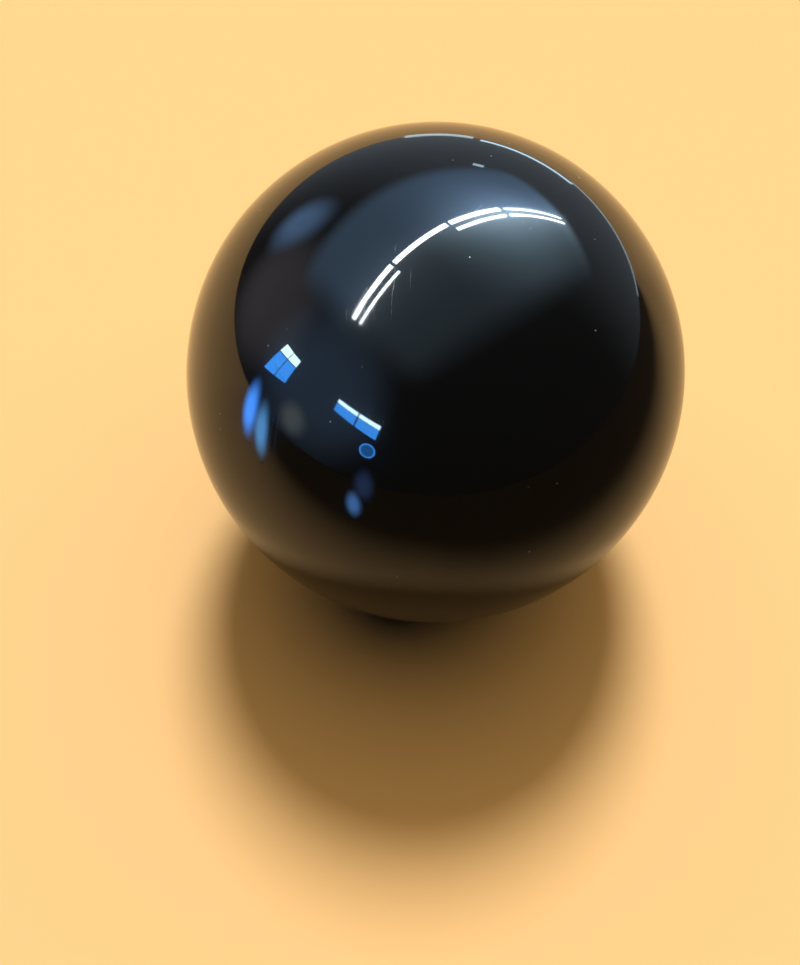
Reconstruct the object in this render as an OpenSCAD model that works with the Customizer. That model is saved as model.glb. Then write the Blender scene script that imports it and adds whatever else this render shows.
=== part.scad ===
// Cue-sports ball in plain black: one solid casting of phenolic resin, ground round and polished.
// It has no core, shell, insert, seam or fastener, so the whole ball is a single piece.
// Millimetres, +Z up, origin at the centre of the ball, which rests on its lowest point.

/* [Ball] */
// Diameter: 47.6 is a small pool cue ball, 52.5 snooker, 57.2 pool and 61.5 carom
ball_d = 52.5; // [47.6:0.1:61.5]

/* [Finish] */
// Colour of the resin, which is dyed right through
resin_colour = "#0E1113"; // [#0E1113:Black, #F2EBDC:Ivory, #A3141B:Red]

/* [Resolution] */
// Straight sides in each ring of the preview
ball_facets = 180; // [48:4:360]

/* [Hidden] */

// The casting: a true sphere, the same in every direction
module ball() {
    color(resin_colour) sphere(d = ball_d, $fn = ball_facets);
}

ball();
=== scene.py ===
"""Looks of a plain black cue-sports ball: polished phenolic resin with the marks of play and handling."""
import math

import bmesh
import bpy
import numpy as np
from mathutils import Matrix, Vector


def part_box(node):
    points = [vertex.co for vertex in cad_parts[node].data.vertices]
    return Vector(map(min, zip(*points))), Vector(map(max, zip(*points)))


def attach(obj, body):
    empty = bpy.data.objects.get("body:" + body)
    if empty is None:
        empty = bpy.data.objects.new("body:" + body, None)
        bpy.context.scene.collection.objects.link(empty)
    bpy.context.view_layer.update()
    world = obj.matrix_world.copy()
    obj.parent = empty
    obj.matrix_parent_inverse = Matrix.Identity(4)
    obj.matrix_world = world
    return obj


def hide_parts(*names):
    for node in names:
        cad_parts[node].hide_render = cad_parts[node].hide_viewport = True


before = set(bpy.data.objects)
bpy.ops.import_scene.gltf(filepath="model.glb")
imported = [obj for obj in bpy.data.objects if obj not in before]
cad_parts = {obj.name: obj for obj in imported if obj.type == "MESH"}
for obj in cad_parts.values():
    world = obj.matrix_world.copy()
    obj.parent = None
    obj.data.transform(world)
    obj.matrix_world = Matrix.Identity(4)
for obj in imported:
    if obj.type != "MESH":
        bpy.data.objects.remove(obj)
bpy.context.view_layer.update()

# ---- Sizes, in metres: the frame's origin is the centre of the ball --------------------------------
CENTRE = Vector((0, 0, 0))
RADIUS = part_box("ball")[1].z
MM = 0.001

SEED = 52
GRID = 128  # faces along each edge of the cube that is blown up into the ball
DENTS = 90
DENT_RADIUS = (0.9 * MM, 1.7 * MM)
DENT_DEPTH = (0.6e-6, 2.4e-6)

RESIN_COLOUR = (0.0045, 0.0048, 0.005)
RESIN_IOR = 1.6
HAZE_WEIGHT, HAZE_ROUGHNESS = 0.08, 0.25

SMUDGE_SCALE = 0.09  # noise steps per mm
SMUDGE_PATCHES = (0.46, 0.68)  # noise levels between which a smudge fades in

HAIRLINE_FAMILIES = 7
HAIRLINE_START = (0, 20, 0)  # degrees about X, Y and Z that the first family is turned
HAIRLINE_TURN = (37, 71, 53)  # and how far each one is turned from the one before
HAIRLINE_STRETCH = (0.03, 0.03, 0.9)  # noise steps per mm: far fewer along a hairline than across it
HAIRLINE_EDGE = 0.003  # how far the noise may be from its middle value inside a line
HAIRLINE_BREAKS = 0.12  # steps per mm of the noise that breaks them up
HAIRLINE_PATCHES = (0.56, 0.70)  # levels of that noise between which a hairline fades in

DUST_COLOUR = (0.62, 0.65, 0.70)
DUST_CELL = 0.85  # mm, and at most one speck in each cell
DUST_SHARE = 0.06
DUST_RADIUS = (0.02, 0.075)  # mm

# Roughness of the clean polish, and what each mark adds to it
POLISH_ROUGHNESS = 0.03
SMUDGE_ROUGHNESS = 0.035
HAIRLINE_ROUGHNESS = 0.10
DUST_ROUGHNESS = 0.6
BUMP_STEP = 2e-6
DUST_STEPS, HAIRLINE_STEPS = 8.0, -0.35  # heights, in bump steps

# ---- Camera: the photograph's height above the bench, close to the ball ----------------------------
LENS = 36.0
SENSOR = 36.0
CAMERA_ELEVATION = 50.0
CAMERA_DISTANCE = 4.024 * RADIUS
CAMERA_TILT = 56.16  # below the horizon, so that the ball sits above the middle of the picture
CAMERA_PAN = 3.07  # to the left, so that the ball sits a little right of the middle

# ---- Set -------------------------------------------------------------------------------------------
FLOOR_RADIUS = 3.0
FLOOR_COLOUR = (0.80, 0.57, 0.27)
UP = Vector((0, 0, 1))

# Name, azimuth, elevation, angular size in degrees, strength and colour of the soft lights on the floor
SOFT_LIGHTS = [
    ("key", 2, 59, 16, 3.08, (0.91, 0.89, 1.0)),
    ("fill", 15, 60, 110, 1.88, (1.0, 0.79, 0.54)),
]

TUBE_WHITE = (0.88, 0.95, 1.0)
TUBE_GLOW = 30
TUBES_START, TUBES_END = Vector((-0.68, -0.23, 1.0)), Vector((1.38, 1.59, 1.0))
TUBES_BOW = 0.08
TUBE_GAP = 0.08
# How far along the line each batten starts and ends, and the widths of its tubes
BATTENS = [
    (0.0, 0.19, (0.042, 0.022)),
    (0.20, 0.375, (0.042,)),
    (0.385, 0.572, (0.042, 0.030)),
    (0.592, 0.985, (0.024, 0.024)),
]
CEILING_SIZE = (3.4, 2.2)
CEILING_COLOUR = (0.58, 0.82, 1.0)
CEILING_BLUE = (0.42, 0.67, 1.0)
CEILING_BACK = 1.03  # its distance from the ball, over that of the tubes
# Places on the ceiling as shares of its size from its middle: x along the tubes, y across them to the front
CEILING_BEHIND = (0.03, -0.02)  # y where the blue part behind the tubes starts and is full
CEILING_LIGHT, CEILING_LIGHT_BEHIND = 0.5, 0.75  # away from the tubes, and what is added behind them
CEILING_RISE, CEILING_FALL = (-0.2, 0.05), (0.06, 0.32)  # x where the glow beside the tubes rises and falls
CEILING_GLOW, CEILING_GLOW_RISE = 0.9, 8.2  # the glow before it rises, and how far it rises
CEILING_GLOW_FALL = 0.45  # share of the rise that is lost again
CEILING_GLOW_LOSS = 0.5  # share of the glow that is missing behind the tubes
CEILING_GLOW_FADE = 8.0  # how fast the glow fades with y
CEILING_ENDS, CEILING_SIDES = (0.5, 0.36), (0.5, 0.3)  # x and y where the ceiling starts and is solid

# The room's lighter sides: azimuth, elevation, cosines where the glow starts and is full, strength, colour
ROOM_DARK = 0.05
ROOM_SIDES = [
    (20, 0, 0.3, 0.95, 0.42, (0.72, 0.86, 1.0)),
    (-122, 28, 0.80, 1.0, 0.75, (0.36, 0.62, 1.0)),
    (-76, 22, 0.88, 1.0, 0.45, (1.0, 0.92, 1.0)),
]

DAYLIGHT = (0.07, 0.37, 1.0)
SKYLIGHT = (0.60, 0.85, 1.0)
# Name, and azimuth and elevation of the upper left, upper right, lower right and lower left corners
WINDOWS = [
    ("window_left", (-98, 25), (-108.5, 27), (-109, 16), (-97, 11)),
    ("window_front", (-134, 28.5), (-157, 26.5), (-156, 20), (-134, 23.5)),
]
SKY_SHARE = 0.3  # of a window's height
PANE_GAP = 0.015  # between panes, as a share of the window
SKY_GLOW, DAY_GLOW = 22, 13
# Name, azimuth, elevation, width and height at 1 m and strength of lights on the far side
SMALL_LIGHTS = [
    ("low_light_left", -1, 0.5, 0.22, 0.05, 1.6),
    ("low_light_middle", 17, 2.0, 0.36, 0.03, 3.0),
    ("low_light_right", 43, 0.5, 0.60, 0.02, 1.2),
    ("small_light", 10, 25, 0.05, 0.03, 3.5),
]
# Soft gleams and a patch of wall: name, low end, high end and width in radii, radiance and colour
SOFT_GLEAMS = [
    ("gleam_left", (-2.12, -0.98, -0.10), (-2.16, -0.74, 0.85), 0.38, 13, (0.09, 0.34, 1.0)),
    ("gleam_left_low", (-2.01, -1.27, -0.18), (-2.10, -1.00, 0.75), 0.36, 9, (0.15, 0.42, 0.80)),
    ("gleam_front", (-0.95, -2.26, -0.22), (-1.02, -2.24, 0.34), 0.30, 6, (0.15, 0.38, 0.85)),
    ("gleam_front_high", (-0.85, -2.30, 0.10), (-0.92, -2.26, 0.75), 0.40, 1.5, (0.20, 0.36, 0.85)),
    ("lit_wall", (-17.3, -10.0, 0.2), (-16.5, -9.5, 6.0), 6.0, 1.8, (0.55, 0.66, 0.70)),
    ("gleam_high", (-21.5, 17.4, 3.9), (-14.8, 16.4, 17.2), 12, 2.0, (0.35, 0.60, 1.0)),
]
GLEAM_FADE = (0.5, 0.1)  # where a gleam starts and is full, as shares of its card from the middle

# A round glint under the front window: a bright ring round a dimmer middle
ROUND_PLACE = (-153.7, 14.5)  # azimuth and elevation
ROUND_SIZE = (0.12, 0.11)
ROUND_MIDDLE = 0.76  # share of its width that the middle takes
ROUND_GLOW, ROUND_DIM = 11, 4.0

# The shade in front of the ball, which only its reflections show
SHADE_REACH = 3.0
SHADE_LEFT, SHADE_RIGHT = -0.1, 0.75  # how fast it deepens to each side; below 0 it fades
SHADE_START, SHADE_FULL = 1.0 * RADIUS, 4.2 * RADIUS  # in front of the ball
SHADE_AROUND_START, SHADE_AROUND_FULL = -1.5 * RADIUS, 0.5 * RADIUS
SHADE_AROUND, SHADE_DEPTH = 0.18, 0.73  # how much of the floor the faint part hides, and the deep one adds
SHADE_LIFT = 0.2 * MM

PANEL_POWER = 4  # watts from each square metre of a flat light, for a strength of 1

GAMMA, EXPOSURE = 0.85, 0.15


# ---- Small helpers ---------------------------------------------------------------------------------
def direction(azimuth, elevation):
    """Unit vector: azimuth 0 is +Y, away from the camera, and 90 is +X; elevation is above the horizon."""
    a, e = math.radians(azimuth), math.radians(elevation)
    return Vector((math.sin(a) * math.cos(e), math.cos(a) * math.cos(e), math.sin(e)))


def add(obj):
    """Link an object to the scene."""
    bpy.context.scene.collection.objects.link(obj)
    return obj


def new_material(name):
    """A material with its node tree and its shader."""
    material = bpy.data.materials.new(name)
    material.use_nodes = True
    tree = material.node_tree
    return material, tree, tree.nodes["Principled BSDF"]


def node(tree, kind, inputs=None, **settings):
    """A shader node with its settings, and its inputs set to values or linked to sockets."""
    made = tree.nodes.new(kind)
    for name, value in settings.items():
        setattr(made, name, value)
    for name, value in (inputs or {}).items():
        if isinstance(value, bpy.types.NodeSocket):
            tree.links.new(value, made.inputs[name])
        else:
            made.inputs[name].default_value = value
    return made


def maths(tree, operation, first, second=0.0, third=0.0):
    """The result of one sum on numbers or sockets."""
    made = node(tree, "ShaderNodeMath", {0: first, 1: second, 2: third}, operation=operation)
    return made.outputs[0]


def ramp(tree, value, start, full):
    """A smooth rise from 0 at the start to 1 at the full value, which may be the lower of the two."""
    ends = {"Value": value, "From Min": start, "From Max": full}
    made = node(tree, "ShaderNodeMapRange", ends, interpolation_type="SMOOTHSTEP")
    return made.outputs["Result"]


# ---- The ball's mesh ---------------------------------------------------------------------------------
def even_sphere(grid):
    """A cube's faces cut into a grid and blown up so that equal steps turn by equal angles."""
    mesh = bmesh.new()
    bmesh.ops.create_cube(mesh, size=2.0)
    bmesh.ops.subdivide_edges(mesh, edges=mesh.edges[:], cuts=grid - 1, use_grid_fill=True)
    for vertex in mesh.verts:
        vertex.co = Vector([math.tan(c * math.pi / 4) for c in vertex.co]).normalized()
    return mesh


def dent_depths(directions, rng):
    """How far each point of the unit sphere is pushed in by shallow knocks from other balls."""
    centres = rng.normal(size=(DENTS, 3))
    centres /= np.linalg.norm(centres, axis=1, keepdims=True)
    widths = rng.uniform(*DENT_RADIUS, DENTS) / RADIUS
    depths = rng.uniform(*DENT_DEPTH, DENTS)
    angles = np.arccos(np.clip(directions @ centres.T, -1, 1))
    bowls = np.where(angles < widths, 0.5 + 0.5 * np.cos(math.pi * angles / widths), 0.0)
    return (bowls * depths).max(axis=1)


def make_ball(rng):
    """The whole ball: an even sphere with its knocks pushed in."""
    shape = even_sphere(GRID)
    directions = np.array([v.co for v in shape.verts])
    reach = RADIUS - dent_depths(directions, rng)
    for vertex, length in zip(shape.verts, reach):
        vertex.co = CENTRE + vertex.co * float(length)
    for face in shape.faces:
        face.smooth = True
    mesh = bpy.data.meshes.new("polished_ball")
    shape.to_mesh(mesh)
    shape.free()
    return add(bpy.data.objects.new("polished_ball", mesh))


# ---- Materials ---------------------------------------------------------------------------------------
def turned(tree, vector, degrees):
    """A vector turned about X, Y and Z."""
    angles = [math.radians(d) for d in degrees]
    return node(tree, "ShaderNodeMapping", {"Vector": vector, "Rotation": angles}).outputs[0]


def hairlines(tree, mm, number):
    """One family of fine scratches: contour lines of noise drawn out one way, broken up into strokes."""
    angles = [first + number * turn for first, turn in zip(HAIRLINE_START, HAIRLINE_TURN)]
    along = turned(tree, mm, angles)
    drawn = node(tree, "ShaderNodeVectorMath", {0: along, 1: HAIRLINE_STRETCH}, operation="MULTIPLY")
    grain = {"Vector": drawn.outputs[0], "Scale": 1.0, "Detail": 2.0, "Distortion": 0.15}
    lines = node(tree, "ShaderNodeTexNoise", grain)
    off_line = maths(tree, "ABSOLUTE", maths(tree, "SUBTRACT", lines.outputs["Fac"], 0.5))
    line = ramp(tree, off_line, HAIRLINE_EDGE, 0.0)
    patches = node(tree, "ShaderNodeTexNoise", {"Vector": along, "Scale": HAIRLINE_BREAKS, "Detail": 3.0})
    return maths(tree, "MULTIPLY", line, ramp(tree, patches.outputs["Fac"], *HAIRLINE_PATCHES))


def specks(tree, mm):
    """Dust motes: a round speck in some of the cells, each of its own size."""
    smallest, largest = DUST_RADIUS
    cells = node(tree, "ShaderNodeTexVoronoi", {"Vector": mm, "Scale": 1 / DUST_CELL}, feature="F1")
    chance = node(tree, "ShaderNodeSeparateColor", {"Color": cells.outputs["Color"]})
    picked = maths(tree, "LESS_THAN", chance.outputs[0], DUST_SHARE)
    spread = (largest - smallest) / DUST_CELL
    size = maths(tree, "MULTIPLY_ADD", chance.outputs[1], spread, smallest / DUST_CELL)
    inside = maths(tree, "LESS_THAN", cells.outputs["Distance"], size)
    return maths(tree, "MULTIPLY", inside, picked)


def resin_material():
    """Black phenolic resin: near black and glossy, with faint haze, hairlines and a few specks of dust."""
    material, tree, shader = new_material("black_resin")
    place = node(tree, "ShaderNodeTexCoord").outputs["Object"]
    mm = node(tree, "ShaderNodeVectorMath", {0: place, "Scale": 1000.0}, operation="SCALE").outputs[0]

    grain = {"Vector": mm, "Scale": SMUDGE_SCALE, "Detail": 5.0, "Roughness": 0.6}
    smudges = node(tree, "ShaderNodeTexNoise", grain)
    smudge = ramp(tree, smudges.outputs["Fac"], *SMUDGE_PATCHES)
    scratches = hairlines(tree, mm, 0)
    for number in range(1, HAIRLINE_FAMILIES):
        scratches = maths(tree, "MAXIMUM", scratches, hairlines(tree, mm, number))
    dust = specks(tree, mm)

    colour = node(
        tree,
        "ShaderNodeMix",
        {"Factor": dust, "A": (*RESIN_COLOUR, 1), "B": (*DUST_COLOUR, 1)},
        data_type="RGBA",
    )
    tree.links.new(colour.outputs["Result"], shader.inputs["Base Color"])
    rough = maths(tree, "MULTIPLY_ADD", smudge, SMUDGE_ROUGHNESS, POLISH_ROUGHNESS)
    rough = maths(tree, "MULTIPLY_ADD", scratches, HAIRLINE_ROUGHNESS, rough)
    rough = maths(tree, "MULTIPLY_ADD", dust, DUST_ROUGHNESS, rough)
    tree.links.new(rough, shader.inputs["Roughness"])
    cut = maths(tree, "MULTIPLY", scratches, HAIRLINE_STEPS)
    height = maths(tree, "MULTIPLY_ADD", dust, DUST_STEPS, cut)
    bump = node(tree, "ShaderNodeBump", {"Height": height, "Distance": BUMP_STEP, "Strength": 1.0})
    tree.links.new(bump.outputs["Normal"], shader.inputs["Normal"])
    shader.inputs["IOR"].default_value = RESIN_IOR
    shader.inputs["Coat Weight"].default_value = HAZE_WEIGHT
    shader.inputs["Coat Roughness"].default_value = HAZE_ROUGHNESS
    return material


def ceiling_material():
    """A dim ceiling, bluer and lighter behind the tubes, that glows beside them and fades at its edges."""
    material, tree, shader = new_material("lit_ceiling")
    place = node(tree, "ShaderNodeTexCoord").outputs["Object"]
    parts = node(tree, "ShaderNodeSeparateXYZ", {"Vector": place})
    along, across = parts.outputs["X"], parts.outputs["Y"]
    behind = ramp(tree, across, *CEILING_BEHIND)
    aside = maths(tree, "ABSOLUTE", across)
    glow = maths(tree, "EXPONENT", maths(tree, "MULTIPLY", aside, -CEILING_GLOW_FADE))
    far_end = maths(tree, "MULTIPLY", ramp(tree, along, *CEILING_FALL), -CEILING_GLOW_FALL)
    middle = maths(tree, "ADD", ramp(tree, along, *CEILING_RISE), far_end)
    brighter = maths(tree, "MULTIPLY_ADD", middle, CEILING_GLOW_RISE, CEILING_GLOW)
    dimmer_behind = maths(tree, "MULTIPLY_ADD", behind, -CEILING_GLOW_LOSS, 1.0)
    glow = maths(tree, "MULTIPLY", glow, maths(tree, "MULTIPLY", brighter, dimmer_behind))
    plain = maths(tree, "MULTIPLY_ADD", behind, CEILING_LIGHT_BEHIND, CEILING_LIGHT)
    light = maths(tree, "ADD", glow, plain)
    ends = ramp(tree, maths(tree, "ABSOLUTE", along), *CEILING_ENDS)
    sides = ramp(tree, aside, *CEILING_SIDES)
    colour = node(
        tree,
        "ShaderNodeMix",
        {"Factor": behind, "A": (*CEILING_COLOUR, 1), "B": (*CEILING_BLUE, 1)},
        data_type="RGBA",
    )
    shader.inputs["Base Color"].default_value = (0, 0, 0, 1)
    shader.inputs["Specular IOR Level"].default_value = 0
    tree.links.new(colour.outputs["Result"], shader.inputs["Emission Color"])
    tree.links.new(light, shader.inputs["Emission Strength"])
    tree.links.new(maths(tree, "MULTIPLY", ends, sides), shader.inputs["Alpha"])
    return material


def gleam_material(name, strength, colour):
    """A glow that is full in the middle of its card and fades away to the edges."""
    material, tree, shader = new_material(name)
    place = node(tree, "ShaderNodeTexCoord").outputs["Object"]
    reach = node(tree, "ShaderNodeVectorMath", {0: place}, operation="LENGTH").outputs["Value"]
    shader.inputs["Base Color"].default_value = (0, 0, 0, 1)
    shader.inputs["Specular IOR Level"].default_value = 0
    shader.inputs["Emission Color"].default_value = (*colour, 1)
    shader.inputs["Emission Strength"].default_value = strength
    tree.links.new(ramp(tree, reach, *GLEAM_FADE), shader.inputs["Alpha"])
    return material


def plain_glow(name, strength, colour):
    """An even glow that reflects nothing."""
    material, _, shader = new_material(name)
    shader.inputs["Base Color"].default_value = (0, 0, 0, 1)
    shader.inputs["Specular IOR Level"].default_value = 0
    shader.inputs["Emission Color"].default_value = (*colour, 1)
    shader.inputs["Emission Strength"].default_value = strength
    return material


def shade_material():
    """Faint beside the ball and deep in front of it, fading out behind it and to the left."""
    material, tree, shader = new_material("shade")
    place = node(tree, "ShaderNodeTexCoord").outputs["Object"]
    parts = node(tree, "ShaderNodeSeparateXYZ", {"Vector": place})
    left = maths(tree, "MULTIPLY", parts.outputs["X"], -SHADE_LEFT)
    aside = maths(tree, "MAXIMUM", left, maths(tree, "MULTIPLY", parts.outputs["X"], SHADE_RIGHT))
    depth = maths(tree, "SUBTRACT", aside, parts.outputs["Y"])
    across = 2 * SHADE_REACH
    faint = ramp(tree, depth, SHADE_AROUND_START / across, SHADE_AROUND_FULL / across)
    deep = ramp(tree, depth, SHADE_START / across, SHADE_FULL / across)
    shader.inputs["Base Color"].default_value = (0, 0, 0, 1)
    shader.inputs["Specular IOR Level"].default_value = 0
    cover = maths(tree, "MULTIPLY_ADD", deep, SHADE_DEPTH, maths(tree, "MULTIPLY", faint, SHADE_AROUND))
    tree.links.new(cover, shader.inputs["Alpha"])
    return material


def floor_material():
    """Plain, pale and matt."""
    material, tree, shader = new_material("pale_floor")
    shader.inputs["Base Color"].default_value = (*FLOOR_COLOUR, 1)
    shader.inputs["Specular IOR Level"].default_value = 0
    return material


# ---- The set -------------------------------------------------------------------------------------------
def make_floor():
    """A round floor that the ball stands on."""
    shape = bmesh.new()
    bmesh.ops.create_circle(shape, cap_ends=True, radius=FLOOR_RADIUS, segments=128)
    mesh = bpy.data.meshes.new("floor")
    shape.to_mesh(mesh)
    shape.free()
    floor = add(bpy.data.objects.new("floor", mesh))
    floor.location = CENTRE - UP * RADIUS
    mesh.materials.append(floor_material())


def panel(name, place, along, size, colour, strength, facing=None):
    """A flat light that only reflections show, facing the ball or a given way, its width along a line."""
    back = -facing if facing else (place - CENTRE).normalized()
    side = (along - back * along.dot(back)).normalized()
    light = bpy.data.lights.new(name, "AREA")
    light.shape = "RECTANGLE"
    light.size, light.size_y = size
    light.color = colour
    light.energy = strength * PANEL_POWER * size[0] * size[1]
    obj = add(bpy.data.objects.new(name, light))
    turn = Matrix((side, back.cross(side), back)).transposed().to_4x4()
    obj.matrix_world = Matrix.Translation(place) @ turn
    obj.visible_camera = False
    obj.visible_diffuse = False


def reflected_only(obj):
    """Part of the set that nothing but a reflection shows."""
    obj.visible_camera = obj.visible_diffuse = obj.visible_shadow = False


def flat_card(name, turn, place, size, material, oval=False):
    """A flat rectangle or oval, 1 across before it is sized."""
    shape = bmesh.new()
    if oval:
        bmesh.ops.create_circle(shape, cap_ends=True, radius=0.5, segments=64)
    else:
        bmesh.ops.create_grid(shape, x_segments=1, y_segments=1, size=0.5)
    mesh = bpy.data.meshes.new(name)
    shape.to_mesh(mesh)
    shape.free()
    mesh.materials.append(material)
    card = add(bpy.data.objects.new(name, mesh))
    card.matrix_world = Matrix.Translation(place) @ turn @ Matrix.Diagonal((*size, 1, 1))
    reflected_only(card)


def tube_point(share):
    """A point on the slightly bowed line of the tubes, by its share of the way along."""
    run = (TUBES_END - TUBES_START).normalized()
    bow = TUBES_BOW * 4 * share * (1 - share)
    return CENTRE + TUBES_START.lerp(TUBES_END, share) - run.cross(UP) * bow


def make_tubes():
    """A broken line of ceiling battens, each with one or two tubes, and the ceiling that they light."""
    for number, (first, last, widths) in enumerate(BATTENS):
        for row, width in enumerate(widths):
            a, b = tube_point(first), tube_point(last)
            run = (b - a).normalized()
            middle = (a + b) / 2 + run.cross(UP) * row * TUBE_GAP
            size = ((b - a).length, width)
            panel(f"tube_{number}_{row}", middle, run, size, TUBE_WHITE, TUBE_GLOW, facing=-UP)
    run = (TUBES_END - TUBES_START).normalized()
    turn = Matrix((run, run.cross(UP), -UP)).transposed().to_4x4()
    flat_card("ceiling", turn, tube_point(0.5) * CEILING_BACK, CEILING_SIZE, ceiling_material())


def make_window(name, *corners):
    """Two columns of panes 1 m away, bright sky in the upper ones and blue daylight in the lower ones."""
    upper_left, upper_right, lower_right, lower_left = [CENTRE + direction(*corner) for corner in corners]

    def point(across, down):
        """A point of the window by its shares of the way across and down."""
        return upper_left.lerp(upper_right, across).lerp(lower_left.lerp(lower_right, across), down)

    points, panes = [], []
    for left, right in [(0, 0.5 - PANE_GAP), (0.5 + PANE_GAP, 1)]:
        for top, bottom in [(0, SKY_SHARE - PANE_GAP), (SKY_SHARE + PANE_GAP, 1)]:
            panes.append(range(len(points), len(points) + 4))
            points += [point(left, top), point(right, top), point(right, bottom), point(left, bottom)]
    mesh = bpy.data.meshes.new(name)
    mesh.from_pydata(points, [], panes)
    mesh.materials.append(plain_glow(name + "_sky", SKY_GLOW, SKYLIGHT))
    mesh.materials.append(plain_glow(name + "_day", DAY_GLOW, DAYLIGHT))
    for number, face in enumerate(mesh.polygons):
        face.material_index = number % 2
    reflected_only(add(bpy.data.objects.new(name, mesh)))


def make_lights():
    """Two soft lights for the floor, and the lamps and windows that only reflections show."""
    for name, azimuth, elevation, spread, strength, colour in SOFT_LIGHTS:
        sun = bpy.data.lights.new(name, "SUN")
        sun.energy, sun.angle, sun.color = strength, math.radians(spread), colour
        lamp = add(bpy.data.objects.new(name, sun))
        lamp.rotation_euler = direction(azimuth, elevation).to_track_quat("Z", "Y").to_euler()
        lamp.visible_glossy = False
    make_tubes()
    for window in WINDOWS:
        make_window(*window)
    for name, azimuth, elevation, width, height, strength in SMALL_LIGHTS:
        out = direction(azimuth, elevation)
        panel(name, CENTRE + out, UP.cross(out), (width, height), SKYLIGHT, strength)


def make_gleams():
    """Soft glows on oval cards around the ball."""
    for name, low, high, width, radiance, colour in SOFT_GLEAMS:
        low, high = Vector(low) * RADIUS, Vector(high) * RADIUS
        rise = (high - low).normalized()
        side = rise.cross((low + high) / 2).normalized()
        turn = Matrix((side, rise, side.cross(rise))).transposed().to_4x4()
        size = (width * RADIUS, (high - low).length)
        material = gleam_material(name, radiance, colour)
        flat_card(name, turn, CENTRE + (low + high) / 2, size, material, oval=True)


def make_round_glint():
    """A bright oval 1 m away, with a smaller and dimmer one just in front of it."""
    out = direction(*ROUND_PLACE)
    side = UP.cross(out).normalized()
    turn = Matrix((side, out.cross(side), out)).transposed().to_4x4()
    glint = plain_glow("round_glint", ROUND_GLOW, DAYLIGHT)
    flat_card("round_glint", turn, CENTRE + out, ROUND_SIZE, glint, oval=True)
    middle = plain_glow("round_glint_middle", ROUND_DIM, DAYLIGHT)
    size = [ROUND_MIDDLE * length for length in ROUND_SIZE]
    flat_card("round_glint_middle", turn, CENTRE + out * 0.99, size, middle, oval=True)


def make_shade():
    """The shade that a person in front of the ball casts into its reflections."""
    foot = CENTRE + UP * (SHADE_LIFT - RADIUS)
    size = (2 * SHADE_REACH, 2 * SHADE_REACH)
    flat_card("shade", Matrix.Identity(4), foot, size, shade_material())


def make_world():
    """A dim room with lighter sides, which only gloss shows, and the lit floor's colour for the camera."""
    world = bpy.data.worlds.new("room")
    bpy.context.scene.world = world
    world.cycles_visibility.diffuse = False
    world.use_nodes = True
    tree = world.node_tree
    place = node(tree, "ShaderNodeTexCoord").outputs["Generated"]
    glow = (ROOM_DARK, ROOM_DARK, ROOM_DARK)
    for azimuth, elevation, start, full, strength, colour in ROOM_SIDES:
        ways = {0: place, 1: direction(azimuth, elevation)}
        facing = node(tree, "ShaderNodeVectorMath", ways, operation="DOT_PRODUCT")
        scaled = {0: Vector(colour) * strength, "Scale": ramp(tree, facing.outputs["Value"], start, full)}
        side = node(tree, "ShaderNodeVectorMath", scaled, operation="SCALE")
        glow = node(tree, "ShaderNodeVectorMath", {0: side.outputs[0], 1: glow}, operation="ADD").outputs[0]
    backdrop = [0, 0, 0]
    for _, _, elevation, _, strength, colour in SOFT_LIGHTS:
        lit = strength * math.sin(math.radians(elevation)) / math.pi
        backdrop = [b + lit * lamp * paint for b, lamp, paint in zip(backdrop, colour, FLOOR_COLOUR)]
    seen = node(tree, "ShaderNodeLightPath").outputs["Is Camera Ray"]
    shown = node(tree, "ShaderNodeMix", {"Factor": seen, "A": glow, "B": backdrop}, data_type="VECTOR")
    tree.links.new(shown.outputs["Result"], tree.nodes["Background"].inputs["Color"])


def make_camera():
    """The camera at the photograph's viewing angle."""
    data = bpy.data.cameras.new("camera")
    data.lens, data.sensor_width = LENS, SENSOR
    camera = add(bpy.data.objects.new("camera", data))
    camera.location = CENTRE + direction(180, CAMERA_ELEVATION) * CAMERA_DISTANCE
    camera.rotation_euler = (math.radians(90 - CAMERA_TILT), 0, math.radians(CAMERA_PAN))
    data.clip_start = MM
    bpy.context.scene.camera = camera


make_camera()
ball = make_ball(np.random.default_rng(SEED))
ball.data.materials.append(resin_material())
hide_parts("ball")
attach(ball, "root")
make_floor()
make_lights()
make_gleams()
make_round_glint()
make_shade()
make_world()
look = bpy.context.scene.view_settings
look.view_transform, look.gamma, look.exposure = "Standard", GAMMA, EXPOSURE
